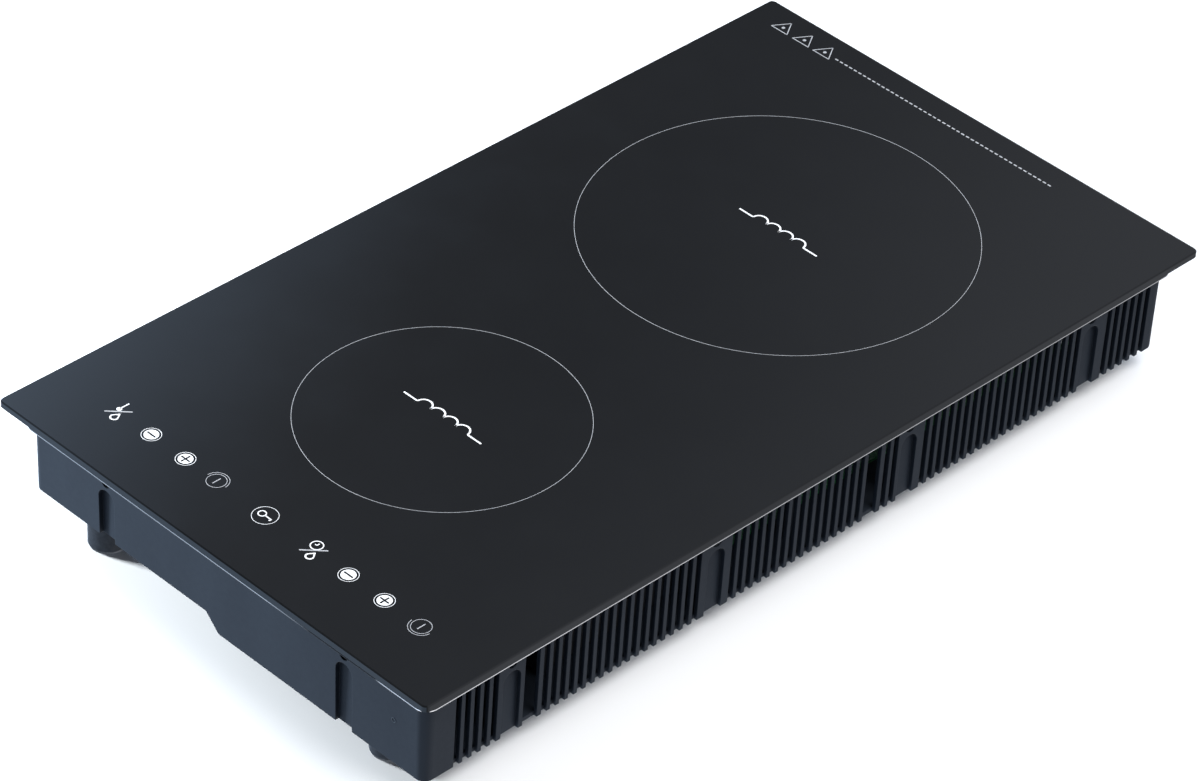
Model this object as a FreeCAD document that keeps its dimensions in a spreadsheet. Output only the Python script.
import FreeCAD, Part

import math
import os
import re

import Sketcher

# Built-in induction cooktop with two cooking zones, in millimetres.
# The origin is on the surface under the feet, below the middle of the glass.
# +X is to the user's right, +Y away from the user and +Z up.

Vector = FreeCAD.Vector
Rotation = FreeCAD.Rotation
Placement = FreeCAD.Placement
UP = Vector(0, 0, 1)
ACROSS = Vector(1, 0, 0)

SIZES = {
    # glass panel
    "glass_width": 288,
    "glass_depth": 510,
    "glass_thick": 4,
    "glass_corner": 3,
    "glass_bevel": 0.6,
    "glass_under": 65.5,
    "bead_thick": 1,
    "bead_wide": 8,
    "seal_thick": 1.5,
    "seal_inset": 2,
    "seal_wide": 4.5,
    # support frame: a flange under the glass with a skirt that closes over the shell
    "frame_width": 273,
    "frame_depth": 495,
    "frame_corner": 7,
    "frame_foot": 56.4,
    "frame_top": 64.5,
    "frame_flange_thick": 1.2,
    "frame_skirt": 1.5,
    "frame_window_width": 248,
    "frame_window_depth": 470,
    "tongue_thick": 1.6,
    "tongue_wide": 5.6,
    "tongue_face": 130,
    "barb_reach": 2.2,
    "barb_tall": 2.3,
    "barb_foot": 51.5,
    # bottom shell
    "shell_width": 267.2,
    "shell_depth": 489.2,
    "shell_corner": 6,
    "shell_top": 62.5,
    "shell_draft": 0.9,
    "wall": 2.2,
    "deep_floor": 11.5,
    "shallow_floor": 20,
    "step_high_end": -12,
    "step_low_end": -3.5,
    "slot_wide": 3.4,
    "slot_pitch": 5.6,
    "slot_top": 54,
    "hook_opening_front": -179.6,
    "hook_opening_rear": 40.2,
    "hook_opening_wide": 9,
    # channels that take the worktop clamps, with a screw hole above each
    "channel_wide": 10.8,
    "channel_deep": 2.9,
    "channel_top": 48.2,
    "channel_front_offset": 80.5,
    "channel_side_inner": 64,
    "channel_side_outer": 192,
    "channel_pad_wide": 14.4,
    "clamp_hole_radius": 3,
    "clamp_hole_level": 53.1,
    "clamp_boss_radius": 5.2,
    "clamp_boss_deep": 7,
    # feet and corner columns
    "foot_offset": 96.5,
    "foot_row": 230,
    "foot_radius": 9.6,
    "foot_round": 2.4,
    "foot_bore": 2.2,
    "foot_sink_radius": 4.4,
    "foot_screw_seat": 5,
    "foot_boss_radius": 5,
    "foot_boss_tall": 9,
    "column_offset": 120,
    "column_row": 236.5,
    "column_radius": 4.6,
    "column_top": 57.3,
    "column_seat": 51.5,
    "column_sink_radius": 3.5,
    "column_bore": 2.1,
    "pillar_radius": 4.2,
    "pilot_radius": 1.3,
    # coil tray on six posts
    "tray_width": 251,
    "tray_front": -207,
    "tray_rear": 233,
    "tray_foot": 46.5,
    "tray_thick": 1,
    "post_radius": 4,
    "post_offset": 118.5,
    "post_front": -185,
    "post_middle": 0,
    "post_rear": 218,
    # coils: the same stack for both zones
    "large_coil_row": 111,
    "large_coil_radius": 90,
    "small_coil_row": -110,
    "small_coil_radius": 62,
    "coil_hole": 20,
    "winding_foot": 57.1,
    "winding_tall": 3.6,
    "litz_pitch": 3.4,
    "carrier_foot": 55,
    "carrier_thick": 2,
    "carrier_rim": 2,
    "carrier_hub": 13,
    "carrier_bore": 6,
    "ferrite_foot": 51,
    "ferrite_thick": 4,
    "ferrite_wide": 12,
    "ferrite_start": 24,
    "felt_thick": 4.3,
    "sensor_radius": 9,
    "sensor_stem": 5.4,
    "spring_radius": 4,
    "spring_wire": 0.45,
    # power board
    "board_thick": 1.6,
    "power_board_left": 5,
    "power_board_right": 111,
    "power_board_front": -40,
    "power_board_rear": 205,
    "power_board_foot": 18.5,
    "board_post_radius": 3.2,
    "board_post_inset": 4,
    "sink_left": 34,
    "sink_right": 106,
    "sink_front": -30,
    "sink_rear": 110,
    "sink_base": 5,
    "sink_tall": 24,
    "sink_side": 4,
    "fin_thick": 1.6,
    "fin_pitch": 7.2,
    "fin_count": 9,
    # filter board
    "filter_board_left": -115,
    "filter_board_right": -25,
    "filter_board_front": 80,
    "filter_board_rear": 190,
    "filter_board_foot": 26.5,
    "choke_x": -70,
    "choke_y": 115,
    "choke_radius": 16,
    "choke_hole": 8,
    "choke_tall": 12,
    "choke_cover": 2,
    "choke_arc": 110,
    # mains inlet in the rear wall
    "inlet_x": -55,
    "inlet_level": 37.5,
    "gland_bore": 4.5,
    "gland_radius": 8,
    "gland_flange_radius": 11,
    "gland_seat": 244.9,
    "gland_inside": 241.4,
    "gland_reach": 9,
    "gland_flange_thick": 3,
    "gland_nut_thick": 4,
    "inlet_pad": 26,
    "terminal_wide": 36,
    "terminal_deep": 16,
    "terminal_tall": 15,
    "terminal_row": 222,
    # blower under the small zone
    "fan_x": 70,
    "fan_y": -112,
    "fan_side": 92,
    "fan_foot": 16.5,
    "fan_tall": 24,
    "fan_wall": 1.5,
    "fan_cavity": 38,
    "fan_mouth": 22,
    "fan_cover_thick": 1.5,
    "fan_screw_offset": 42,
    "rotor_radius": 35,
    "rotor_foot": 19.5,
    "rotor_top": 36.5,
    "rotor_rim": 2,
    "rotor_plate": 1.5,
    "blade_inner": 25,
    "blade_thick": 1,
    "blade_count": 24,
    "cup_radius": 14,
    "cup_wall": 1.5,
    "stator_radius": 11.5,
    "bearing_radius": 4,
    "shaft_radius": 1.5,
    "shaft_clearance": 0.05,
    # control unit under the front of the glass
    "control_row": -218.9,
    "carrier_width": 226,
    "carrier_front": -236.2,
    "carrier_rear": -200.2,
    "control_carrier_foot": 53,
    "control_carrier_top": 61.5,
    "control_wall": 1.5,
    "control_board_foot": 56.5,
    "control_board_width": 220,
    "control_board_deep": 31,
    "electrode_radius": 4.5,
    "digit_wide": 8,
    "digit_deep": 10.5,
    "digit_offset": 66.6,
    "tab_offset": 60,
    "tab_wide": 16,
    "ribbon_x": 17.4,
}

SHEET = "Sizes"
KEY_OFFSETS = (-101, -78, -54.3, -33, 0, 32.4, 55.4, 79, 102.7)
SLOT_GROUPS = ((-224.4, 5), (-170.8, 18), (-52.4, 16), (49.2, 2), (76, 20), (204.8, 6))
SIDES = (-1, 1)
LONG = 600

doc = FreeCAD.newDocument("induction_cooktop")
sheet = doc.addObject("Spreadsheet::Sheet", SHEET)
for row, (alias, number) in enumerate(SIZES.items(), start=1):
    sheet.set(f"A{row}", alias.replace("_", " "))
    sheet.set(f"B{row}", str(number))
    sheet.setAlias(f"B{row}", alias)
doc.recompute()

subparts = []


# ---- working with the sheet ------------------------------------------------------------

def tie(text):
    """Turn each size's plain name into a reference to its cell."""
    return re.sub(
        r"[a-z]+(_[a-z]+)*",
        lambda word: f"{SHEET}.{word.group()}" if word.group() in SIZES else word.group(),
        str(text),
    )


def bind(thing, **links):
    """Tie properties to expressions; a double underscore in a name stands for a dot."""
    for name, text in links.items():
        thing.setExpression(name.replace("__", "."), tie(text))


def place(thing, x="0", y="0", z="0"):
    bind(thing, Placement__Base__x=x, Placement__Base__y=y, Placement__Base__z=z)


def keep(thing, name):
    """Name a finished sub-part."""
    thing.Label = name
    subparts.append(thing)
    return thing


# ---- Part primitives and booleans ------------------------------------------------------

def block(name, x, y, z, wide, deep, tall):
    """A box centred on x and y that stands at height z."""
    box = doc.addObject("Part::Box", name)
    bind(box, Length=wide, Width=deep, Height=tall)
    place(box, f"({x}) - ({wide}) / 2", f"({y}) - ({deep}) / 2", z)
    return box


def slab(name, left, right, front, rear, z, tall):
    """A box given by its four sides."""
    box = doc.addObject("Part::Box", name)
    bind(box, Length=f"({right}) - ({left})", Width=f"({rear}) - ({front})", Height=tall)
    place(box, left, front, z)
    return box


def rod(name, x, y, z, radius, tall, turn=None):
    """A cylinder that starts at the given point; turn tips it from upright."""
    cylinder = doc.addObject("Part::Cylinder", name)
    if turn:
        cylinder.Placement = Placement(Vector(), turn)
    bind(cylinder, Radius=radius, Height=tall)
    place(cylinder, x, y, z)
    return cylinder


def group(name, pieces):
    compound = doc.addObject("Part::Compound", name)
    compound.Links = list(pieces)
    return compound


def join(name, pieces):
    fuse = doc.addObject("Part::MultiFuse", name)
    fuse.Shapes = list(pieces)
    return fuse


def cut(name, base, pieces):
    """Take pieces, which may overlap each other, away from base."""
    difference = doc.addObject("Part::Cut", name)
    difference.Base = base
    difference.Tool = join(f"{name}_tools", pieces) if len(pieces) > 1 else pieces[0]
    return difference


def copies(name, source, spots, turns=None, flip=False):
    """Separate copies of one body, each at its spot, turned about Z or tipped over."""
    links = []
    for number, (x, y, z) in enumerate(spots):
        link = doc.addObject("App::Link", f"{name}_{number + 1}")
        link.LinkedObject = source
        spin = Rotation(UP, turns[number] if turns else 0)
        link.Placement = Placement(Vector(), spin * Rotation(ACROSS, 180 if flip else 0))
        place(link, x, y, z)
        links.append(link)
    return group(name, links)


# ---- PartDesign sketches and features --------------------------------------------------

def new_sketch(body, name, role, lift="0"):
    """A sketch on one of the body's own origin planes, lifted along its normal."""
    sketch = body.newObject("Sketcher::SketchObject", name)
    plane = next(item for item in body.Origin.OriginFeatures if item.Role == role)
    sketch.AttachmentSupport = [(plane, "")]
    sketch.MapMode = "FlatFace"
    bind(sketch, AttachmentOffset__Base__z=lift)
    return sketch


def outline(body, name, role, corners, lift="0"):
    """A closed straight-sided outline; each corner is a pair of expressions."""
    sketch = new_sketch(body, name, role, lift)
    count = len(corners)
    start = [Vector(math.cos(math.tau * i / count), math.sin(math.tau * i / count)) for i in range(count)]
    for number in range(count):
        sketch.addGeometry(Part.LineSegment(start[number], start[(number + 1) % count]))
    for number in range(count):
        sketch.addConstraint(Sketcher.Constraint("Coincident", number, 2, (number + 1) % count, 1))
    for number, corner in enumerate(corners):
        for kind, text, value in zip(("DistanceX", "DistanceY"), corner, start[number]):
            index = sketch.addConstraint(Sketcher.Constraint(kind, -1, 1, number, 1, value))
            sketch.setExpression(f"Constraints[{index}]", tie(text))
    return sketch


def rounded(body, name, wide, deep, corner, lift):
    """A rectangle with round corners, centred on the origin."""
    sketch = new_sketch(body, name, "XY_Plane", lift)
    x, y, r = 50, 100, 5
    ends = [
        ((r - x, -y), (x - r, -y)),
        ((x, r - y), (x, y - r)),
        ((x - r, y), (r - x, y)),
        ((-x, y - r), (-x, r - y)),
    ]
    for first, last in ends:
        sketch.addGeometry(Part.LineSegment(Vector(*first), Vector(*last)))
    centres = [(x - r, r - y), (x - r, y - r), (r - x, y - r), (r - x, r - y)]
    quarter = math.pi / 2
    for number, centre in enumerate(centres):
        start = (number - 1) * quarter
        circle = Part.Circle(Vector(*centre), UP, r)
        sketch.addGeometry(Part.ArcOfCircle(circle, start, start + quarter))
    for side in range(4):
        sketch.addConstraint(Sketcher.Constraint("Tangent", side, 2, side + 4, 1))
        sketch.addConstraint(Sketcher.Constraint("Tangent", side + 4, 2, (side + 1) % 4, 1))
        level = "Horizontal" if side % 2 == 0 else "Vertical"
        sketch.addConstraint(Sketcher.Constraint(level, side))
    for arc in (5, 6, 7):
        sketch.addConstraint(Sketcher.Constraint("Equal", 4, arc))
    sketch.addConstraint(Sketcher.Constraint("Symmetric", 0, 1, 2, 1, -1, 1))
    measures = (
        (Sketcher.Constraint("Radius", 4, r), corner),
        (Sketcher.Constraint("DistanceX", 3, 1, 1, 1, 2 * x), wide),
        (Sketcher.Constraint("DistanceY", 0, 1, 2, 1, 2 * y), deep),
    )
    for measure, text in measures:
        index = sketch.addConstraint(measure)
        sketch.setExpression(f"Constraints[{index}]", tie(text))
    return sketch


def new_body(name):
    return doc.addObject("PartDesign::Body", name)


def pad(body, name, sketch, height):
    feature = body.newObject("PartDesign::Pad", name)
    feature.Profile = sketch
    bind(feature, Length=height)
    return feature


def pocket(body, name, sketch, depth):
    """Cut downwards from a sketch."""
    feature = body.newObject("PartDesign::Pocket", name)
    feature.Profile = sketch
    bind(feature, Length=depth)
    return feature


def revolve(body, name, sketch):
    feature = body.newObject("PartDesign::Revolution", name)
    feature.Profile = sketch
    feature.ReferenceAxis = (sketch, ["V_Axis"])
    feature.Angle = 360
    return feature


def loft(body, name, kind, low, high):
    feature = body.newObject(kind, name)
    feature.Profile = low
    feature.Sections = [high]
    feature.Ruled = True
    return feature


def turned(name, corners):
    """A body turned from one outline of radius and height pairs."""
    body = new_body(name)
    revolve(body, f"{name}_turning", outline(body, f"{name}_profile", "XZ_Plane", corners))
    return body


# ---- glass, bead and frame -------------------------------------------------------------

def edges_at(shape, height):
    """Names of the edges that lie flat at one height."""
    names = []
    for number, edge in enumerate(shape.Edges, start=1):
        box = edge.BoundBox
        if abs(box.ZMin - height) < 0.001 and abs(box.ZMax - height) < 0.001:
            names.append(f"Edge{number}")
    return names


def make_glass():
    body = new_body("glass_panel")
    sheet_outline = rounded(body, "glass_outline", "glass_width", "glass_depth", "glass_corner", "glass_under")
    pane = pad(body, "glass_pane", sheet_outline, "glass_thick")
    doc.recompute()
    levels = (SIZES["glass_under"], SIZES["glass_under"] + SIZES["glass_thick"])
    names = [name for level in levels for name in edges_at(pane.Shape, level)]
    bevel = body.newObject("PartDesign::Chamfer", "glass_ground_edge")
    bevel.Base = (pane, names)
    bind(bevel, Size="glass_bevel")
    keep(body, "glass_panel")


def make_bead():
    body = new_body("glass_bead")
    outer = rounded(body, "bead_outer", "frame_width - 2", "frame_depth - 2", "frame_corner - 1", "frame_top")
    pad(body, "bead_pad", outer, "bead_thick")
    inner = rounded(
        body, "bead_inner",
        "frame_width - 2 - 2 * bead_wide", "frame_depth - 2 - 2 * bead_wide", "frame_corner - 4", "glass_under",
    )
    pocket(body, "bead_window", inner, "bead_thick")
    keep(body, "glass_bead")


def make_seal():
    """A ring of foam tape below the glass, outside the frame, that lies on the worktop."""
    body = new_body("seal_ring")
    outer = rounded(
        body, "seal_outer", "glass_width - 2 * seal_inset", "glass_depth - 2 * seal_inset", "glass_corner",
        "glass_under - seal_thick",
    )
    pad(body, "seal_pad", outer, "seal_thick")
    inner = rounded(
        body, "seal_inner",
        "glass_width - 2 * (seal_inset + seal_wide)", "glass_depth - 2 * (seal_inset + seal_wide)",
        "frame_corner + 1", "glass_under",
    )
    pocket(body, "seal_window", inner, "seal_thick")
    keep(body, "worktop_seal")


def make_frame():
    body = new_body("frame_pressing")
    outer = rounded(body, "frame_outer", "frame_width", "frame_depth", "frame_corner", "frame_foot")
    pad(body, "frame_pad", outer, "frame_top - frame_foot")
    skirt = rounded(
        body, "skirt_inner",
        "frame_width - 2 * frame_skirt", "frame_depth - 2 * frame_skirt", "frame_corner - frame_skirt",
        "frame_top - frame_flange_thick",
    )
    pocket(body, "skirt_hollow", skirt, "frame_top - frame_flange_thick - frame_foot")
    window = rounded(
        body, "frame_window_outline", "frame_window_width", "frame_window_depth", "frame_corner", "frame_top",
    )
    pocket(body, "frame_window", window, "frame_flange_thick")

    pieces = [body]
    tools = []
    under = "frame_top - frame_flange_thick"
    for side in SIDES:
        for spot in ("hook_opening_front", "hook_opening_rear"):
            tag = f"{spot}_{'right' if side > 0 else 'left'}"
            pieces.append(block(
                f"tongue_{tag}", f"{side} * (tongue_face - tongue_thick / 2)", spot, "barb_foot",
                "tongue_thick", "tongue_wide", f"{under} - barb_foot + 0.6",
            ))
            pieces.append(block(
                f"barb_{tag}", f"{side} * (tongue_face + barb_reach / 2 - 0.1)", spot, "barb_foot",
                "barb_reach + 0.2", "tongue_wide", "barb_tall",
            ))
        for end in SIDES:
            tag = f"{'rear' if end > 0 else 'front'}_{'right' if side > 0 else 'left'}"
            x = f"{side} * column_offset"
            y = f"{end} * column_row"
            pieces.append(rod(f"pillar_{tag}", x, y, "column_top + 0.2", "pillar_radius",
                              f"{under} - column_top + 0.4"))
            tools.append(rod(f"pillar_bore_{tag}", x, y, "column_top", "pilot_radius",
                             f"{under} - column_top - 0.6"))
        tools.append(rod(f"tab_hole_{side + 1}", f"{side} * tab_offset", "carrier_front - 2.3",
                         f"{under} - 1", "pilot_radius + 0.1", "4"))
    keep(cut("support_frame", join("frame_solid", pieces), tools), "support_frame")


# ---- bottom shell ----------------------------------------------------------------------

def wall_body():
    """The drafted wall all round, with its lower edge stepped like the floor."""
    body = new_body("shell_walls")
    below = "deep_floor"
    outer_low = rounded(
        body, "outer_low",
        "shell_width - 2 * shell_draft", "shell_depth - 2 * shell_draft", "shell_corner - 1", below,
    )
    outer_high = rounded(body, "outer_high", "shell_width", "shell_depth", "shell_corner", "shell_top")
    loft(body, "outer_wall", "PartDesign::AdditiveLoft", outer_low, outer_high)
    inner_low = rounded(
        body, "inner_low",
        "shell_width - 2 * shell_draft - 2 * wall", "shell_depth - 2 * shell_draft - 2 * wall",
        "shell_corner - 1 - wall", below,
    )
    inner_high = rounded(
        body, "inner_high", "shell_width - 2 * wall", "shell_depth - 2 * wall", "shell_corner - wall",
        "shell_top",
    )
    loft(body, "inner_hollow", "PartDesign::SubtractiveLoft", inner_low, inner_high)
    return body


def floor_body():
    """The floor: deep on the right, and shallow on the left past a sloping step."""
    body = new_body("floor_blank")
    low = rounded(
        body, "floor_low",
        "shell_width - 2 * shell_draft - 2 * wall + 0.8", "shell_depth - 2 * shell_draft - 2 * wall + 0.8",
        "shell_corner - 1 - wall", "deep_floor",
    )
    pad(body, "floor_pad", low, "shallow_floor - deep_floor + wall")
    profile = new_body("floor_profile")
    # at 45 degrees, the inner corners shift by the wall times the tangent of 22.5 degrees
    shift = "wall * tan(22.5)"
    section = outline(profile, "floor_section", "XZ_Plane", [
        (f"-{LONG} / 2", "shallow_floor"),
        ("step_high_end", "shallow_floor"),
        ("step_low_end", "deep_floor"),
        (f"{LONG} / 2", "deep_floor"),
        (f"{LONG} / 2", "deep_floor + wall"),
        (f"step_low_end + {shift}", "deep_floor + wall"),
        (f"step_high_end + {shift}", "shallow_floor + wall"),
        (f"-{LONG} / 2", "shallow_floor + wall"),
    ])
    plate = pad(profile, "floor_plate", section, str(LONG))
    plate.Midplane = True
    floor = doc.addObject("Part::MultiCommon", "floor_solid")
    floor.Shapes = [body, profile]
    return floor


def channel_places():
    """Name, rotation, wall distance, sideways place and lower level of every clamp channel."""
    places = []
    for end in SIDES:
        for side in SIDES:
            name = f"{'rear' if end > 0 else 'front'}_{side + 1}"
            along = f"{-side * end} * channel_front_offset"
            places.append((name, 180 if end > 0 else 0, "shell_depth / 2", along, floor_level(side)))
    for side in SIDES:
        for row in ("channel_side_inner", "channel_side_outer"):
            for end in SIDES:
                name = f"side_{side + 1}_{row[13:]}_{end + 1}"
                places.append((name, 90 * side, "shell_width / 2", f"{side * end} * {row}", floor_level(side)))
    return places


def channel_parts(name, angle, distance, along, level):
    """The pad behind one channel with its hole's boss, and what is cut out of them.

    They are drawn for the front wall, which faces -Y, and turned to their own wall.
    """
    added = [
        block(f"pad_{name}", along, f"-({distance}) + channel_deep", level,
              "channel_pad_wide", "3.6", f"clamp_hole_level - {level}"),
        rod(f"boss_{name}", along, f"-({distance}) + 1.4", "clamp_hole_level", "clamp_boss_radius",
            "clamp_boss_deep - 1.4", Rotation(ACROSS, -90)),
    ]
    removed = [
        block(f"groove_{name}", along, f"-({distance}) - 5 + channel_deep", 0,
              "channel_wide", "10", "channel_top - channel_wide / 2"),
        rod(f"groove_top_{name}", along, f"-({distance}) - 10 + channel_deep",
            "channel_top - channel_wide / 2", "channel_wide / 2", "10", Rotation(ACROSS, -90)),
        rod(f"hole_{name}", along, f"-({distance}) - 2", "clamp_hole_level", "clamp_hole_radius", "14",
            Rotation(ACROSS, -90)),
    ]
    turned_sets = []
    for tag, pieces in (("added", added), ("removed", removed)):
        whole = join(f"channel_{tag}_{name}", pieces)
        whole.Placement = Placement(Vector(), Rotation(UP, angle))
        turned_sets.append(whole)
    return turned_sets


def grille_cutter():
    """Ring openings in the floor below the blower, crossed by four bars."""
    rings = []
    for number in range(4):
        outer = rod(f"grille_outer_{number}", "fan_x", "fan_y", "deep_floor - 1", 12 + 5 * number, "wall + 2")
        inner = rod(f"grille_inner_{number}", "fan_x", "fan_y", "deep_floor - 1", 9 + 5 * number, "wall + 2")
        rings.append(cut(f"grille_ring_{number}", outer, [inner]))
    bars = [
        block("grille_bar_across", "fan_x", "fan_y", "deep_floor - 2", "80", "3", "wall + 4"),
        block("grille_bar_along", "fan_x", "fan_y", "deep_floor - 2", "3", "80", "wall + 4"),
    ]
    return cut("grille_openings", group("grille_rings", rings), bars)


def floor_level(x):
    return "shallow_floor" if x < 0 else "deep_floor"


def board_posts(board, level):
    """Four posts below a board's corners, with blind screw holes."""
    posts = []
    bores = []
    for number, (x, y) in enumerate(board_corners(board)):
        posts.append(rod(f"{board}_post_{number}", x, y, level, "board_post_radius", f"{board}_foot - {level}"))
        bores.append(rod(f"{board}_bore_{number}", x, y, f"{level} + 2", "pilot_radius", f"{board}_foot - {level}"))
    return posts, bores


def board_corners(board):
    return [
        (f"{board}_{x} {dx} board_post_inset", f"{board}_{y} {dy} board_post_inset")
        for x, dx in (("left", "+"), ("right", "-"))
        for y, dy in (("front", "+"), ("rear", "-"))
    ]


def fan_corners():
    return [
        (f"fan_x + {x} * fan_screw_offset", f"fan_y + {y} * fan_screw_offset") for x in SIDES for y in SIDES
    ]


def tray_points():
    return [(f"{side} * post_offset", row) for side in SIDES for row in ("post_front", "post_middle", "post_rear")]


def corner_points(offset, row):
    return [(side, f"{side} * {offset}", f"{end} * {row}") for side in SIDES for end in SIDES]


def make_shell():
    slots = []
    for first, count in SLOT_GROUPS:
        for number in range(count):
            slots.append(block(
                f"slot_{len(slots) + 1}", "0", f"{first} + {number} * slot_pitch", "0",
                "shell_width + 10", "slot_wide", "slot_top",
            ))
    for spot in ("hook_opening_front", "hook_opening_rear"):
        slots.append(block(f"{spot}_cut", "0", spot, "0", "shell_width + 10", "hook_opening_wide", "slot_top"))
    slotted = doc.addObject("Part::Cut", "slotted_walls")
    slotted.Base = wall_body()
    slotted.Tool = group("slot_cutters", slots)

    added = [slotted, floor_body()]
    removed = [grille_cutter()]
    for spot in channel_places():
        pad_set, groove_set = channel_parts(*spot)
        added.append(pad_set)
        removed.append(groove_set)
    for number, (side, x, y) in enumerate(corner_points("foot_offset", "foot_row")):
        level = floor_level(side)
        added.append(rod(f"foot_boss_{number}", x, y, level, "foot_boss_radius", "foot_boss_tall"))
        removed.append(rod(f"foot_pilot_{number}", x, y, f"{level} - 1", "pilot_radius", "foot_boss_tall"))
    for number, (side, x, y) in enumerate(corner_points("column_offset", "column_row")):
        level = floor_level(side)
        added.append(rod(f"column_{number}", x, y, level, "column_radius", f"column_top - {level}"))
        removed.append(rod(f"column_sink_{number}", x, y, f"{level} - 1", "column_sink_radius",
                           f"column_seat - {level} + 1"))
        removed.append(rod(f"column_bore_{number}", x, y, "column_seat - 1", "column_bore", "10"))
    for number, (x, y) in enumerate(tray_points()):
        level = floor_level(-1 if x.startswith("-") else 1)
        added.append(rod(f"tray_post_{number}", x, y, level, "post_radius", f"tray_foot - {level}"))
        removed.append(rod(f"tray_bore_{number}", x, y, "tray_foot - 12", "pilot_radius", "14"))
    for board, level in (("power_board", "deep_floor"), ("filter_board", "shallow_floor")):
        posts, bores = board_posts(board, level)
        added += posts
        removed += bores
    for number, (x, y) in enumerate(fan_corners()):
        added.append(rod(f"fan_post_{number}", x, y, "deep_floor", "board_post_radius", "fan_foot - deep_floor"))
        removed.append(rod(f"fan_bore_{number}", x, y, "deep_floor + 1", "pilot_radius", "fan_foot - deep_floor"))
    for number in range(10):
        removed.append(block(f"outlet_{number}", f"17 + {number} * 9", "186", "deep_floor - 1", "3.4", "24", "wall + 2"))
    added.append(slab("inlet_pad_solid", "inlet_x - inlet_pad / 2", "inlet_x + inlet_pad / 2", "gland_inside",
                      "gland_seat", "inlet_level - inlet_pad / 2", "inlet_pad"))
    removed.append(rod("inlet_hole", "inlet_x", "gland_inside - 5", "inlet_level", "gland_radius + 0.1", "15",
                       Rotation(ACROSS, -90)))
    solid = cut("shell_whole", join("shell_solid", added), removed)

    under = new_body("under_step")
    section = outline(under, "under_section", "XZ_Plane", [
        (f"-{LONG} / 2", "0"),
        ("step_low_end", "0"),
        ("step_low_end", "deep_floor"),
        ("step_high_end", "shallow_floor"),
        (f"-{LONG} / 2", "shallow_floor"),
    ])
    space = pad(under, "under_space", section, str(LONG))
    space.Midplane = True
    keep(cut("bottom_shell", solid, [under]), "bottom_shell")


# ---- feet and screws -------------------------------------------------------------------

def make_feet():
    for side, tag, top in ((-1, "left", "shallow_floor"), (1, "right", "deep_floor")):
        for end, row in ((-1, "front"), (1, "rear")):
            name = f"foot_{row}_{tag}"
            seat = f"({top} - foot_screw_seat)"
            body = turned(name, [
                ("foot_bore", seat),
                ("foot_sink_radius", seat),
                ("foot_sink_radius", "0"),
                ("foot_radius - foot_round", "0"),
                ("foot_radius - foot_round * 0.3", "foot_round * 0.3"),
                ("foot_radius", "foot_round"),
                ("foot_radius", top),
                ("foot_bore", top),
            ])
            place(body, f"{side} * foot_offset", f"{end} * foot_row")
            keep(body, name)


def screw(name, head_radius, head_tall, shank_radius, reach):
    """A pan-head screw that points up from the underside of its head, with a cross recess."""
    body = turned(name, [
        ("0", f"-{head_tall}"),
        (f"{head_radius} * 0.7", f"-{head_tall}"),
        (head_radius, f"-{head_tall} * 0.5"),
        (head_radius, "0"),
        (shank_radius, "0"),
        (shank_radius, reach),
        ("0", reach),
    ])
    arm = head_radius * 0.6
    half = head_radius * 0.14
    cross = outline(body, f"{name}_cross", "XY_Plane", [
        (arm, half), (half, half), (half, arm), (-half, arm), (-half, half), (-arm, half),
        (-arm, -half), (-half, -half), (-half, -arm), (half, -arm), (half, -half), (arm, -half),
    ], lift=f"-{head_tall} + 0.9")
    pocket(body, f"{name}_recess", cross, "2")
    return body


def make_screws():
    foot_spots = [
        (x, y, f"{floor_level(side)} - foot_screw_seat") for side, x, y in corner_points("foot_offset", "foot_row")
    ]
    keep(copies("foot_screws", screw("foot_screw", 3.8, 2.4, 1.2, 11), foot_spots), "foot_screws")
    column_spots = [(x, y, "column_seat") for _, x, y in corner_points("column_offset", "column_row")]
    keep(copies("shell_screws", screw("shell_screw", 3.2, 2, 1.2, 10), column_spots), "shell_screws")

    short = screw("short_screw", 2.8, 1.8, 1.1, 8)
    tray_spots = [(x, y, "tray_foot + tray_thick") for x, y in tray_points()]
    keep(copies("tray_screws", short, tray_spots, flip=True), "tray_screws")
    board_screw = screw("board_screw", 2.8, 1.8, 1.1, 5.4)
    for board in ("power_board", "filter_board"):
        spots = [(x, y, f"{board}_foot + board_thick") for x, y in board_corners(board)]
        keep(copies(f"{board}_screws", board_screw, spots, flip=True), f"{board}_screws")
    fan_spots = [(x, y, "fan_foot + fan_tall + fan_cover_thick") for x, y in fan_corners()]
    fan_screw = screw("fan_screw", 2.6, 1.8, 1.1, 29)
    keep(copies("fan_screws", fan_screw, fan_spots, flip=True), "fan_screws")
    tab_spots = [(f"{side} * tab_offset", "carrier_front - 2.3", "frame_top - frame_flange_thick - 1.5")
                 for side in SIDES]
    keep(copies("carrier_screws", screw("carrier_screw", 2, 1.4, 1, 2.5), tab_spots), "carrier_screws")


# ---- coils -----------------------------------------------------------------------------

def make_tray():
    plate = slab("tray_plate", "-tray_width / 2", "tray_width / 2", "tray_front", "tray_rear", "tray_foot",
                 "tray_thick")
    holes = [
        slab("tray_opening_large", "-75", "-51", "16", "36", "tray_foot - 1", "tray_thick + 2"),
        slab("tray_opening_small", "-38", "-8", "-37", "-18", "tray_foot - 1", "tray_thick + 2"),
    ]
    for number, (x, y) in enumerate(tray_points()):
        holes.append(rod(f"tray_hole_{number}", x, y, "tray_foot - 1", "pilot_radius", "3"))
    for side in SIDES:
        corner = f"{side} * tray_width / 2"
        holes.append(block(f"tray_notch_{side + 1}", corner, "tray_rear", "tray_foot - 1", "24", "16", "3"))
    keep(cut("coil_tray", plate, holes), "coil_tray")


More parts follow.
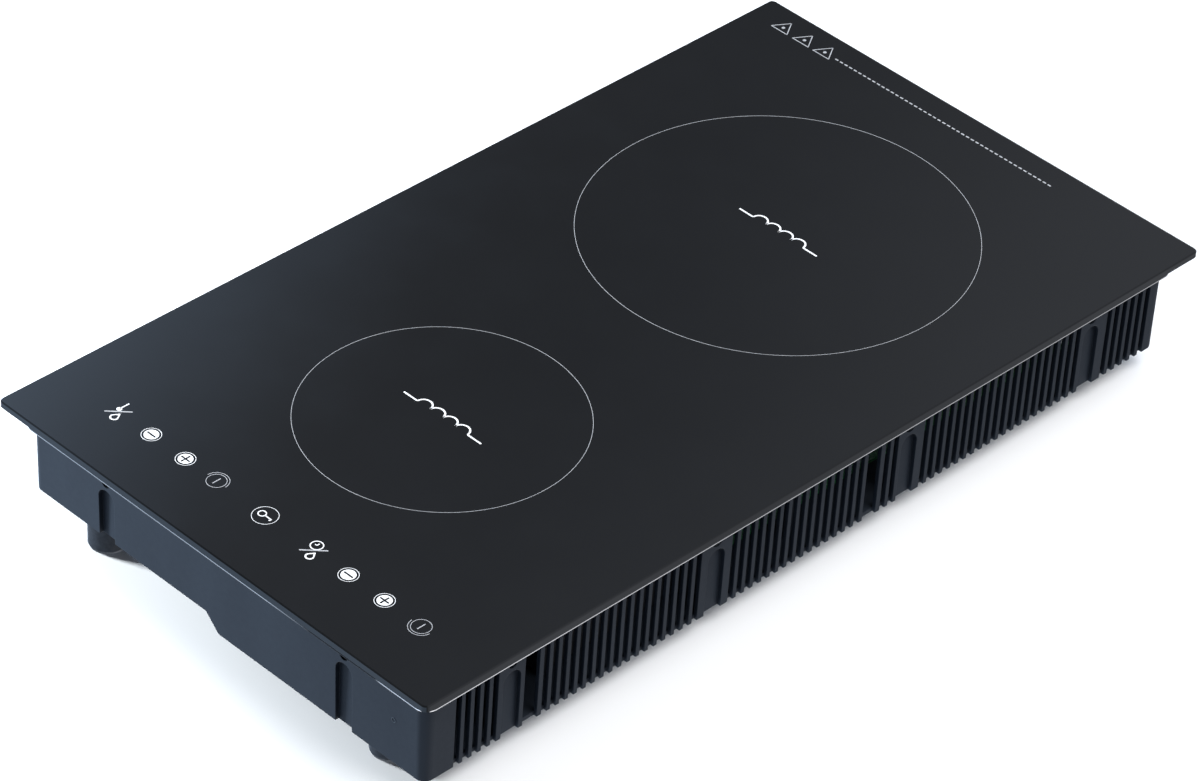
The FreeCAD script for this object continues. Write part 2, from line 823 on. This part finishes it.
def winding_profile(radius, foot, tall, pitch):
    """Corners of a flat coil's section, with a dip between neighbouring turns."""
    corners = [("coil_hole", foot), (radius, foot)]
    turns = int((SIZES[radius] - SIZES["coil_hole"]) / SIZES[pitch])
    for number in range(turns):
        edge = f"{radius} - {number} * {pitch}"
        corners.append((edge, f"{foot} + {tall} * 0.6"))
        corners.append((f"{edge} - {pitch} * 0.2", f"{foot} + {tall}"))
        corners.append((f"{edge} - {pitch} * 0.8", f"{foot} + {tall}"))
    corners.append(("coil_hole", f"{foot} + {tall} * 0.6"))
    return corners


def make_coil(zone, bars, springs, first_spring):
    row = f"{zone}_coil_row"
    radius = f"{zone}_coil_radius"
    prefix = f"{zone}_coil"

    winding = turned(f"{prefix}_winding", winding_profile(radius, "winding_foot", "winding_tall", "litz_pitch"))
    place(winding, y=row)
    keep(winding, f"{prefix}_winding")

    hub_top = "winding_foot + winding_tall"
    carrier = turned(f"{prefix}_carrier", [
        ("carrier_bore", "carrier_foot"),
        (f"{radius} + carrier_rim + 0.4", "carrier_foot"),
        (f"{radius} + carrier_rim + 0.4", hub_top),
        (f"{radius} + 0.4", hub_top),
        (f"{radius} + 0.4", "carrier_foot + carrier_thick"),
        ("carrier_hub + 2", "carrier_foot + carrier_thick"),
        ("carrier_hub + 2", hub_top),
        ("carrier_hub", hub_top),
        ("carrier_hub", "carrier_foot + carrier_thick"),
        ("carrier_bore", "carrier_foot + carrier_thick"),
    ])
    window = outline(carrier, f"{prefix}_window_outline", "XY_Plane", [
        ("carrier_hub + 8", "3"),
        (f"{radius} - 6", "9"),
        (f"{radius} - 6", "-9"),
        ("carrier_hub + 8", "-3"),
    ], lift="carrier_foot + carrier_thick + 0.05")
    opening = pocket(carrier, f"{prefix}_window", window, "carrier_thick + 1")
    pattern = carrier.newObject("PartDesign::PolarPattern", f"{prefix}_windows")
    pattern.Originals = [opening]
    pattern.Axis = (window, ["N_Axis"])
    pattern.Angle = 360
    pattern.Occurrences = bars
    carrier.Tip = pattern
    place(carrier, y=row)
    keep(carrier, f"{prefix}_carrier")

    bar = doc.addObject("Part::Box", f"{prefix}_ferrite")
    bind(bar, Length=f"{radius} - 4 - ferrite_start", Width="ferrite_wide", Height="ferrite_thick")
    pieces = []
    for number in range(bars):
        link = doc.addObject("App::Link", f"{prefix}_ferrite_{number + 1}")
        link.LinkedObject = bar
        angle = 360 * (number + 0.5) / bars
        spin = Rotation(UP, angle)
        link.Placement = Placement(Vector(), spin)
        bind(
            link,
            Placement__Base__x=f"ferrite_start * cos({angle}) + ferrite_wide / 2 * sin({angle})",
            Placement__Base__y=f"{row} + ferrite_start * sin({angle}) - ferrite_wide / 2 * cos({angle})",
            Placement__Base__z="ferrite_foot",
        )
        pieces.append(link)
    keep(group(f"{prefix}_ferrites", pieces), f"{prefix}_ferrites")

    felt = turned(f"{prefix}_felt", [
        ("carrier_hub", f"{hub_top} + 0.2"),
        (f"{radius} + 1", f"{hub_top} + 0.2"),
        (f"{radius} + 1", "glass_under"),
        ("carrier_hub", "glass_under"),
    ])
    place(felt, y=row)
    keep(felt, f"{prefix}_felt")

    sensor = turned(f"{prefix}_sensor", [
        ("0", "ferrite_foot"),
        ("sensor_stem", "ferrite_foot"),
        ("sensor_stem", "carrier_foot + carrier_thick"),
        ("sensor_radius", "carrier_foot + carrier_thick"),
        ("sensor_radius", "glass_under - 1.5"),
        ("sensor_radius - 1.5", "glass_under"),
        ("0", "glass_under"),
    ])
    place(sensor, y=row)
    keep(sensor, f"{prefix}_sensor")

    coil = new_body(f"{prefix}_spring")
    wire = new_sketch(coil, f"{prefix}_spring_wire", "XZ_Plane")
    wire.addGeometry(Part.Circle(Vector(SIZES["spring_radius"], 0), UP, SIZES["spring_wire"]))
    wire.addConstraint(Sketcher.Constraint("PointOnObject", 0, 3, -1))
    for measure, text in (
        (Sketcher.Constraint("Radius", 0, SIZES["spring_wire"]), "spring_wire"),
        (Sketcher.Constraint("DistanceX", -1, 1, 0, 3, SIZES["spring_radius"]), "spring_radius"),
    ):
        index = wire.addConstraint(measure)
        wire.setExpression(f"Constraints[{index}]", tie(text))
    helix = coil.newObject("PartDesign::AdditiveHelix", f"{prefix}_spring_helix")
    helix.Profile = wire
    helix.ReferenceAxis = (wire, ["V_Axis"])
    helix.Mode = "height-turns-angle"
    helix.Turns = 4
    bind(helix, Height="carrier_foot - tray_foot - tray_thick - 3.2 * spring_wire")
    spots = []
    for number in range(springs):
        angle = first_spring + 360 * number / springs
        spots.append((
            f"({radius} - 12) * cos({angle})", f"{row} + ({radius} - 12) * sin({angle})",
            "tray_foot + tray_thick + 1.6 * spring_wire",
        ))
    keep(copies(f"{prefix}_springs", coil, spots), f"{prefix}_springs")


# ---- boards and their parts ------------------------------------------------------------

def make_board(board):
    plate = slab(f"{board}_plate", f"{board}_left", f"{board}_right", f"{board}_front", f"{board}_rear",
                 f"{board}_foot", "board_thick")
    holes = [
        rod(f"{board}_hole_{number}", x, y, f"{board}_foot - 1", "pilot_radius", "4")
        for number, (x, y) in enumerate(board_corners(board))
    ]
    keep(cut(board, plate, holes), board)


def make_heat_sink():
    body = new_body("heat_sink")
    foot = "(power_board_foot + board_thick)"
    angle_bar = outline(body, "sink_section", "XZ_Plane", [
        ("sink_left", foot),
        ("sink_right", foot),
        ("sink_right", f"{foot} + sink_base"),
        ("sink_left + sink_side", f"{foot} + sink_base"),
        ("sink_left + sink_side", f"{foot} + sink_tall"),
        ("sink_left", f"{foot} + sink_tall"),
    ], lift="-sink_rear")
    pad(body, "sink_bar", angle_bar, "sink_rear - sink_front")
    fin_left = "sink_right - fin_thick"
    fin = outline(body, "fin_section", "XZ_Plane", [
        (fin_left, f"{foot} + sink_base - 1"),
        ("sink_right", f"{foot} + sink_base - 1"),
        ("sink_right", f"{foot} + sink_tall"),
        (fin_left, f"{foot} + sink_tall"),
    ], lift="-sink_rear")
    first = pad(body, "first_fin", fin, "sink_rear - sink_front")
    pattern = body.newObject("PartDesign::LinearPattern", "fins")
    pattern.Originals = [first]
    pattern.Direction = (fin, ["H_Axis"])
    pattern.Reversed = True
    bind(pattern, Length="fin_pitch * (fin_count - 1)", Occurrences="fin_count")
    body.Tip = pattern
    keep(body, "heat_sink")


def package(name, y, wide, legs, leg_pitch):
    """A flat power package that stands against the heat sink, with legs into the board."""
    top = "power_board_foot + board_thick"
    pieces = [slab(f"{name}_case", "sink_left - 5", "sink_left", f"{y} - {wide} / 2", f"{y} + {wide} / 2",
                   f"{top} + 3", "20")]
    for number in range(legs):
        offset = (number - (legs - 1) / 2) * leg_pitch
        pieces.append(block(f"{name}_leg_{number}", "sink_left - 2.5", f"{y} + {offset}", top, "0.8", "1.2", "4"))
    return join(name, pieces)


def make_power_parts():
    top = "power_board_foot + board_thick"
    igbts = [package(f"igbt_{number}", y, 15.6, 3, 5.4) for number, y in enumerate((-18, 2, 60, 80))]
    keep(group("power_transistors", igbts), "power_transistors")
    keep(package("bridge_rectifier", 100, 18, 4, 4.6), "bridge_rectifier")
    dc_caps = [block(f"dc_capacitor_{number}", "45", f"{136 + 26 * number}", top, "38", "20", "22") for number in range(2)]
    keep(group("dc_link_capacitors", dc_caps), "dc_link_capacitors")
    tank_caps = [
        block(f"tank_capacitor_{number}", "88", f"{128 + 18 * number}", top, "26", "14", "18") for number in range(4)
    ]
    keep(group("resonance_capacitors", tank_caps), "resonance_capacitors")
    core = block("transformer_core", "17", "92", top, "18", "12", "15")
    bobbin = block("transformer_bobbin", "17", "92", top, "13", "17", "12")
    keep(join("standby_transformer", [core, bobbin]), "standby_transformer")
    keep(block("mains_relay", "16", "62", top, "12.5", "26", "15"), "mains_relay")
    fuse_y = 112
    tube = rod("fuse_tube", "16", fuse_y, f"{top} + 4.4", "2.4", "18", Rotation(ACROSS, -90))
    caps = [rod(f"fuse_cap_{number}", "16", f"{fuse_y} + {number * 14} - 0.5", f"{top} + 4.4", "3", "5",
                Rotation(ACROSS, -90)) for number in range(2)]
    clips = [block(f"fuse_clip_{number}", "16", f"{fuse_y} + {number * 14} + 2", top, "5", "4", "4.4")
             for number in range(2)]
    keep(join("mains_fuse", [tube] + caps + clips), "mains_fuse")


def make_filter_parts():
    top = "(filter_board_foot + board_thick)"
    lift = f"{top} + choke_cover"
    core = cut(
        "filter_choke_core",
        rod("choke_ring", "choke_x", "choke_y", lift, "choke_radius", "choke_tall"),
        [rod("choke_eye", "choke_x", "choke_y", f"{lift} - 1", "choke_hole", "choke_tall + 2")],
    )
    keep(core, "filter_choke_core")
    halves = []
    for number, turn in enumerate((35, 215)):
        sector = doc.addObject("Part::Cylinder", f"winding_sector_{number}")
        sector.Placement = Placement(Vector(), Rotation(UP, turn - 90))
        bind(sector, Radius="choke_radius + choke_cover", Height="choke_tall + 2 * choke_cover", Angle="choke_arc")
        place(sector, "choke_x", "choke_y", top)
        ring = cut(
            f"core_room_{number}",
            rod(f"room_outer_{number}", "choke_x", "choke_y", f"{lift} - 0.1", "choke_radius + 0.1",
                "choke_tall + 0.2"),
            [rod(f"room_inner_{number}", "choke_x", "choke_y", f"{lift} - 1", "choke_hole - 0.1", "choke_tall + 2")],
        )
        eye = rod(f"winding_eye_{number}", "choke_x", "choke_y", f"{top} - 1", "choke_hole - choke_cover",
                  "choke_tall + 8")
        halves.append(cut(f"choke_winding_{number}", sector, [ring, eye]))
    keep(group("filter_choke_windings", halves), "filter_choke_windings")
    keep(block("filter_capacitor", "choke_x", "choke_y + 40", top, "26", "12", "15"), "filter_capacitor")


def make_inlet():
    inner_end = "gland_inside - gland_nut_thick - 2"
    along_y = Rotation(ACROSS, -90)
    body = join("gland_solid", [
        rod("gland_tube", "inlet_x", inner_end, "inlet_level", "gland_radius", f"gland_seat + 1 - ({inner_end})", along_y),
        rod("gland_flange", "inlet_x", "gland_seat", "inlet_level", "gland_flange_radius", "gland_flange_thick", along_y),
        rod("gland_dome", "inlet_x", "gland_seat", "inlet_level", "gland_radius + 0.5", "gland_reach", along_y),
    ])
    bore = rod("gland_passage", "inlet_x", f"{inner_end} - 1", "inlet_level", "gland_bore", "30", along_y)
    keep(cut("cable_gland", body, [bore]), "cable_gland")
    nut = rod("nut_disc", "inlet_x", "gland_inside - gland_nut_thick", "inlet_level", "gland_flange_radius",
              "gland_nut_thick", along_y)
    nut_bore = rod("nut_bore", "inlet_x", "gland_inside - gland_nut_thick - 1", "inlet_level", "gland_radius + 0.1",
                   "gland_nut_thick + 2", along_y)
    flats = [
        block(f"nut_flat_{number}", "inlet_x", "gland_inside - gland_nut_thick / 2",
              f"inlet_level + {level}", "30", "gland_nut_thick + 2", "6")
        for number, level in enumerate((9.6, -15.6))
    ]
    keep(cut("gland_nut", nut, [nut_bore] + flats), "gland_nut")

    top = "(shallow_floor + wall)"
    housing = block("terminal_housing", "inlet_x", "terminal_row", top, "terminal_wide", "terminal_deep",
                    "terminal_tall")
    wells = []
    for number in range(3):
        x = f"inlet_x + {(number - 1) * 11}"
        wells.append(rod(f"terminal_well_{number}", x, "terminal_row", f"{top} + 7", "2.6", "10"))
        wells.append(rod(f"terminal_entry_{number}", x, "terminal_row - terminal_deep / 2 - 1", f"{top} + 8.3", "1.8",
                         "7", Rotation(ACROSS, -90)))
    keep(cut("terminal_block", housing, wells), "terminal_block")


# ---- blower ----------------------------------------------------------------------------

def make_blower():
    centre = ("fan_x", "fan_y")
    box = block("fan_box", *centre, "fan_foot", "fan_side", "fan_side", "fan_tall")
    outlet = slab("fan_outlet", "fan_x + 4", "fan_x + fan_cavity", "fan_y", "fan_y + fan_side",
                  "fan_foot + fan_wall", "fan_tall")
    room = rod("fan_room", *centre, "fan_foot + fan_wall", "fan_cavity", "fan_tall")
    mouth = rod("fan_mouth_hole", *centre, "fan_foot - 1", "fan_mouth", "5")
    holes = [rod(f"fan_hole_{number}", x, y, "fan_foot - 1", "pilot_radius", "fan_tall + 2")
             for number, (x, y) in enumerate(fan_corners())]
    keep(cut("fan_housing", box, [outlet, room, mouth] + holes), "fan_housing")

    lid_level = "fan_foot + fan_tall"
    lid = block("fan_lid", *centre, lid_level, "fan_side", "fan_side", "fan_cover_thick")
    lid_holes = [rod(f"lid_hole_{number}", x, y, f"{lid_level} - 1", "pilot_radius", "4")
                 for number, (x, y) in enumerate(fan_corners())]
    keep(cut("fan_cover", lid, lid_holes), "fan_cover")

    stator_foot = "rotor_foot + 5"
    stator = turned("fan_stator", [
        ("bearing_radius", stator_foot),
        ("stator_radius", stator_foot),
        ("stator_radius", "rotor_top - 3"),
        ("stator_radius - 3", "rotor_top - 3"),
        ("stator_radius - 3", lid_level),
        ("bearing_radius", lid_level),
    ])
    place(stator, *centre)
    keep(stator, "fan_stator")
    bearing = turned("fan_bearing", [
        ("shaft_radius + shaft_clearance", stator_foot),
        ("bearing_radius", stator_foot),
        ("bearing_radius", lid_level),
        ("shaft_radius + shaft_clearance", lid_level),
    ])
    place(bearing, *centre)
    keep(bearing, "fan_bearing")

    cup_floor = "rotor_foot + 3"
    rotor = turned("fan_rotor", [
        ("0", "rotor_foot + 1.5"),
        ("cup_radius", "rotor_foot + 1.5"),
        ("cup_radius", "rotor_top - rotor_plate"),
        ("rotor_radius", "rotor_top - rotor_plate"),
        ("rotor_radius", "rotor_top"),
        ("cup_radius - cup_wall", "rotor_top"),
        ("cup_radius - cup_wall", cup_floor),
        ("shaft_radius", cup_floor),
        ("shaft_radius", f"{lid_level} - 0.5"),
        ("0", f"{lid_level} - 0.5"),
    ])
    rim = outline(rotor, "rim_profile", "XZ_Plane", [
        ("rotor_radius - rotor_rim", "rotor_foot"),
        ("rotor_radius", "rotor_foot"),
        ("rotor_radius", "rotor_foot + rotor_rim"),
        ("rotor_radius - rotor_rim", "rotor_foot + rotor_rim"),
    ])
    blade = outline(rotor, "blade_section", "XY_Plane", [
        ("blade_inner", "0"),
        ("blade_inner + 5", "1.6"),
        ("rotor_radius - 0.6", "6"),
        ("rotor_radius - 1", "6 + blade_thick"),
        ("blade_inner + 4.4", "1.6 + blade_thick"),
        ("blade_inner", "blade_thick"),
    ], lift="rotor_foot + 0.5")
    first = pad(rotor, "first_blade", blade, "rotor_top - rotor_foot - 1")
    pattern = rotor.newObject("PartDesign::PolarPattern", "blades")
    pattern.Originals = [first]
    pattern.Axis = (blade, ["N_Axis"])
    pattern.Angle = 360
    bind(pattern, Occurrences="blade_count")
    rotor.Tip = pattern
    revolve(rotor, "rotor_rim_ring", rim)
    place(rotor, *centre)
    keep(rotor, "fan_rotor")


# ---- control unit ----------------------------------------------------------------------

def make_controls():
    middle = "(carrier_front + carrier_rear) / 2"
    tray = block("control_tray", "0", middle, "control_carrier_foot", "carrier_width",
                 "carrier_rear - carrier_front", "control_carrier_top - control_carrier_foot")
    hollow = block("control_hollow", "0", middle, "control_carrier_foot + control_wall",
                   "carrier_width - 2 * control_wall", "carrier_rear - carrier_front - 2 * control_wall", "20")
    shell = cut("control_shell", tray, [hollow])
    pieces = [shell]
    for side in SIDES:
        for end in SIDES:
            pieces.append(block(
                f"board_ledge_{side + 1}_{end + 1}", f"{side} * (carrier_width / 2 - 5)", f"{middle} + {end} * 12",
                "control_carrier_foot + 1", "8", "8", "control_board_foot - control_carrier_foot - 1",
            ))
        pieces.append(slab(
            f"tab_{side + 1}", f"{side} * tab_offset - tab_wide / 2", f"{side} * tab_offset + tab_wide / 2",
            "carrier_front - 4.4", "carrier_front + 1", "frame_top - frame_flange_thick - 1.5", "1.5",
        ))
        pieces.append(slab(
            f"tab_stem_{side + 1}", f"{side} * tab_offset - tab_wide / 2", f"{side} * tab_offset + tab_wide / 2",
            "carrier_front", "carrier_front + 1", "control_carrier_top - 1",
            "frame_top - frame_flange_thick - control_carrier_top + 1",
        ))
        pieces.append(block(
            f"carrier_leg_{side + 1}", f"{side} * tab_offset", "carrier_rear - 3", "tray_foot + tray_thick",
            "8", "5", "control_carrier_foot - tray_foot - tray_thick + 1",
        ))
    holes = [rod(f"tab_bore_{side + 1}", f"{side} * tab_offset", "carrier_front - 2.3", "control_carrier_top - 2",
                 "pilot_radius", "6") for side in SIDES]
    holes.append(block("ribbon_gap", "ribbon_x", "-215", "control_carrier_foot - 1", "14", "4", "4"))
    keep(cut("control_carrier", join("control_solid", pieces), holes), "control_carrier")

    keep(block("control_board", "0", middle, "control_board_foot", "control_board_width", "control_board_deep",
               "board_thick"), "control_board")
    level = "control_board_foot + board_thick"
    electrodes = [rod(f"electrode_{number}", offset, "control_row", level, "electrode_radius",
                      f"glass_under - ({level})") for number, offset in enumerate(KEY_OFFSETS)]
    keep(group("key_electrodes", electrodes), "key_electrodes")
    digits = [block(f"digit_{side + 1}", f"{side} * digit_offset", "control_row", level, "digit_wide", "digit_deep",
                    "6.8") for side in SIDES]
    keep(group("digit_displays", digits), "digit_displays")


# ---- wires held inside -----------------------------------------------------------------

def route(points):
    """Straight runs joined by tangent arcs as large as the two runs at each corner allow."""
    edges = []
    start = points[0]
    for before, corner, after in zip(points, points[1:], points[2:]):
        into = corner - before
        out = after - corner
        turn = into.getAngle(out)
        reach = 0.45 * min(into.Length, out.Length)
        into.normalize()
        out.normalize()
        first = corner - into * reach
        last = corner + out * reach
        towards = out - into
        towards.normalize()
        radius = reach / math.tan(turn / 2)
        centre = corner + towards * (radius / math.cos(turn / 2))
        middle = centre - towards * radius
        edges.append(Part.LineSegment(start, first).toShape())
        edges.append(Part.Arc(first, middle, last).toShape())
        start = last
    edges.append(Part.LineSegment(start, points[-1]).toShape())
    return Part.Wire(edges)


def wire(points, section):
    """A solid swept along a route; section makes the face's outline at the start."""
    path = route(points)
    heading = points[1] - points[0]
    return path.makePipeShell([section(points[0], heading)], True, False)


def round_section(radius):
    return lambda start, heading: Part.Wire(Part.makeCircle(radius, start, heading))


def flat_section(wide, thick):
    """A flat cable's outline, wide along X, for a route that starts straight down."""
    def section(start, heading):
        corners = [(-wide, -thick), (wide, -thick), (wide, thick), (-wide, thick), (-wide, -thick)]
        return Part.makePolygon([start + Vector(x / 2, y / 2, 0) for x, y in corners])
    return section


def make_wires():
    board = SIZES["power_board_foot"] + SIZES["board_thick"]
    filter_top = SIZES["filter_board_foot"] + SIZES["board_thick"]
    coil_level = SIZES["winding_foot"] + SIZES["winding_tall"] / 2
    run_level = board + 14.4

    def coil_lead(row, radius, angle, corner_x, corner_y, landing):
        heading = math.radians(angle)
        return [
            Vector((radius + 2.7) * math.cos(heading), row + (radius + 2.7) * math.sin(heading), coil_level),
            Vector(corner_x, corner_y, coil_level),
            Vector(corner_x, corner_y, run_level),
            Vector(landing, corner_y, run_level),
            Vector(landing, corner_y, board),
        ]

    large = (SIZES["large_coil_row"], SIZES["large_coil_radius"])
    small = (SIZES["small_coil_row"], SIZES["small_coil_radius"])
    mains_level = SIZES["shallow_floor"] + SIZES["wall"] + 8.3
    entry = SIZES["terminal_row"] - SIZES["terminal_deep"] / 2
    edge = SIZES["filter_board_rear"] - 12
    mains = [
        [Vector(x, entry + 3, mains_level), Vector(x, entry - 8, mains_level),
         Vector(x, entry - 16, filter_top + 11.4), Vector(x, edge, filter_top + 11.4), Vector(x, edge, filter_top)]
        for x in (SIZES["inlet_x"] + 11 * number for number in (-1, 0, 1))
    ]
    link = [
        [Vector(-34, y, filter_top), Vector(-34, y, filter_top + 11.4), Vector(9, y, filter_top + 11.4),
         Vector(9, y, board)]
        for y in (140, 148)
    ]
    fan_left = SIZES["fan_x"] - SIZES["fan_side"] / 2
    fan_level = board + 9.4
    fan = [[
        Vector(fan_left, -85, fan_level), Vector(fan_left - 10, -85, fan_level), Vector(10, -58, fan_level),
        Vector(10, -31, fan_level), Vector(10, -31, board),
    ]]
    ribbon_x = SIZES["ribbon_x"]
    ribbon_level = board + 5.4
    ribbon = [[
        Vector(ribbon_x, -215, SIZES["control_board_foot"]), Vector(ribbon_x, -215, ribbon_level),
        Vector(ribbon_x, -34, ribbon_level), Vector(ribbon_x, -34, board),
    ]]
    bundles = {
        "large_coil_leads": (
            [coil_lead(*large, -130, -68, 30, 12), coil_lead(*large, -122, -58, 22, 12)], round_section(1.5),
        ),
        "small_coil_leads": (
            [coil_lead(*small, 112, -32, -31, 20), coil_lead(*small, 100, -14, -24, 20)], round_section(1.5),
        ),
        "mains_wires": (mains, round_section(1.3)),
        "link_wires": (link, round_section(1.3)),
        "fan_lead": (fan, round_section(1.2)),
        "control_ribbon": (ribbon, flat_section(10, 0.9)),
    }
    for name, (routes, section) in bundles.items():
        solids = [wire(points, section) for points in routes]
        for solid, points in zip(solids, routes):
            print(f"{name}: route {route(points).Length:.1f}, volume {solid.Volume:.1f}")
        bundle = doc.addObject("Part::Feature", name)
        bundle.Shape = solids[0] if len(solids) == 1 else Part.makeCompound(solids)
        bundle.Placement = Placement(Vector(), Rotation())
        keep(bundle, name)


make_glass()
make_bead()
make_seal()
make_frame()
make_shell()
make_feet()
make_screws()
make_tray()
make_coil("large", bars=8, springs=4, first_spring=0)
make_coil("small", bars=6, springs=3, first_spring=0)
make_board("power_board")
make_board("filter_board")
make_heat_sink()
make_power_parts()
make_filter_parts()
make_inlet()
make_blower()
make_controls()
make_wires()
doc.recompute()

# ---- checks and output -----------------------------------------------------------------

for item in doc.Objects:
    if "Invalid" in item.State or "Error" in item.State:
        raise RuntimeError(f"{item.Name} failed: {item.State}")
for item in subparts:
    if item.Shape.isNull() or not item.Shape.isValid():
        raise RuntimeError(f"{item.Label} has no valid shape")

os.makedirs("parts", exist_ok=True)
for item in subparts:
    item.Shape.exportStep(f"parts/{item.Label}.step")
    box = item.Shape.BoundBox
    print(f"{item.Label}: {len(item.Shape.Solids)} solids, volume {item.Shape.Volume:.0f}, "
          f"x {box.XMin:.1f}..{box.XMax:.1f}, y {box.YMin:.1f}..{box.YMax:.1f}, z {box.ZMin:.1f}..{box.ZMax:.1f}")
print(f"{len(subparts)} sub-parts")
